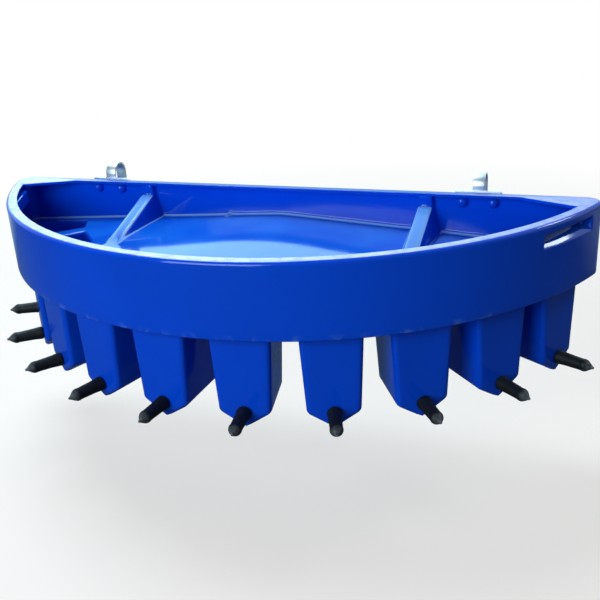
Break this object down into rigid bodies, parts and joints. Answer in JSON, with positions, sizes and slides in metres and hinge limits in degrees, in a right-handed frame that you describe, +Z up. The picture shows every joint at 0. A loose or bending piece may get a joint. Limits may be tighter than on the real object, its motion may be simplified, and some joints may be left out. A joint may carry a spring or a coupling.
{
  "type": "multi-teat lamb feeder",
  "caption": "Half-moon blue milk tub that hooks over a gate rail, with a drained compartment and a flexing rubber teat for each lamb.",
  "frame": {"origin": "on the gate rail's axis, midway between the two hooks", "axes": "+X along the rail, +Y towards the gate, +Z up"},
  "size_m": [1.137, 0.4955, 0.308],
  "materials": {
    "polyethylene": "rotomoulded polyethylene, slightly rippled gloss",
    "rubber": "moulded rubber, matt, rubbed grey at the tip",
    "galvanised_steel": "hot-dip galvanised",
    "zinc_plate": "bright zinc plate",
    "brass": "turned"
  },
  "bodies": {
    "tub": {"back_wall": "polyethylene", "front_skirt": "polyethylene", "left_end": "polyethylene", "right_end": "polyethylene", "left_corner": "polyethylene", "right_corner": "polyethylene", "tub_floor": "polyethylene", "compartment_1": "polyethylene", "compartment_2": "polyethylene", "compartment_3": "polyethylene", "compartment_4": "polyethylene", "compartment_5": "polyethylene", "compartment_6": "polyethylene", "compartment_7": "polyethylene", "compartment_8": "polyethylene", "compartment_9": "polyethylene", "compartment_10": "polyethylene", "left_hook": "galvanised_steel", "right_hook": "galvanised_steel", "hook_bolts": "zinc_plate", "bolt_washers": "zinc_plate", "threaded_inserts": "brass"},
    "teat_1": {"teat_1": "rubber"},
    "teat_2": {"teat_2": "rubber"},
    "teat_3": {"teat_3": "rubber"},
    "teat_4": {"teat_4": "rubber"},
    "teat_5": {"teat_5": "rubber"},
    "teat_6": {"teat_6": "rubber"},
    "teat_7": {"teat_7": "rubber"},
    "teat_8": {"teat_8": "rubber"},
    "teat_9": {"teat_9": "rubber"},
    "teat_10": {"teat_10": "rubber"}
  },
  "joints": [
    {"name": "teat_1_flex", "type": "hinge", "parent": "tub", "child": "teat_1", "pos_m": [-0.50667, -0.10675, -0.26], "axis": [0.4738, -0.8806, 0], "range_deg": [-12, 12], "stiffness_Nm_per_rad": 0.4},
    {"name": "teat_2_flex", "type": "hinge", "parent": "tub", "child": "teat_2", "pos_m": [-0.42759, -0.2191, -0.26], "axis": [0.6691, -0.7432, 0], "range_deg": [-12, 12], "stiffness_Nm_per_rad": 0.4},
    {"name": "teat_3_flex", "type": "hinge", "parent": "tub", "child": "teat_3", "pos_m": [-0.32413, -0.30951, -0.26], "axis": [0.8262, -0.5634, 0], "range_deg": [-12, 12], "stiffness_Nm_per_rad": 0.4},
    {"name": "teat_4_flex", "type": "hinge", "parent": "tub", "child": "teat_4", "pos_m": [-0.20218, -0.37281, -0.26], "axis": [0.9362, -0.3514, 0], "range_deg": [-12, 12], "stiffness_Nm_per_rad": 0.4},
    {"name": "teat_5_flex", "type": "hinge", "parent": "tub", "child": "teat_5", "pos_m": [-0.0687, -0.40538, -0.26], "axis": [0.9928, -0.1194, 0], "range_deg": [-12, 12], "stiffness_Nm_per_rad": 0.4},
    {"name": "teat_6_flex", "type": "hinge", "parent": "tub", "child": "teat_6", "pos_m": [0.0687, -0.40538, -0.26], "axis": [0.9928, 0.1194, 0], "range_deg": [-12, 12], "stiffness_Nm_per_rad": 0.4},
    {"name": "teat_7_flex", "type": "hinge", "parent": "tub", "child": "teat_7", "pos_m": [0.20218, -0.37281, -0.26], "axis": [0.9362, 0.3514, 0], "range_deg": [-12, 12], "stiffness_Nm_per_rad": 0.4},
    {"name": "teat_8_flex", "type": "hinge", "parent": "tub", "child": "teat_8", "pos_m": [0.32413, -0.30951, -0.26], "axis": [0.8262, 0.5634, 0], "range_deg": [-12, 12], "stiffness_Nm_per_rad": 0.4},
    {"name": "teat_9_flex", "type": "hinge", "parent": "tub", "child": "teat_9", "pos_m": [0.42759, -0.2191, -0.26], "axis": [0.6691, 0.7432, 0], "range_deg": [-12, 12], "stiffness_Nm_per_rad": 0.4},
    {"name": "teat_10_flex", "type": "hinge", "parent": "tub", "child": "teat_10", "pos_m": [0.50667, -0.10675, -0.26], "axis": [0.4738, 0.8806, 0], "range_deg": [-12, 12], "stiffness_Nm_per_rad": 0.4}
  ]
}
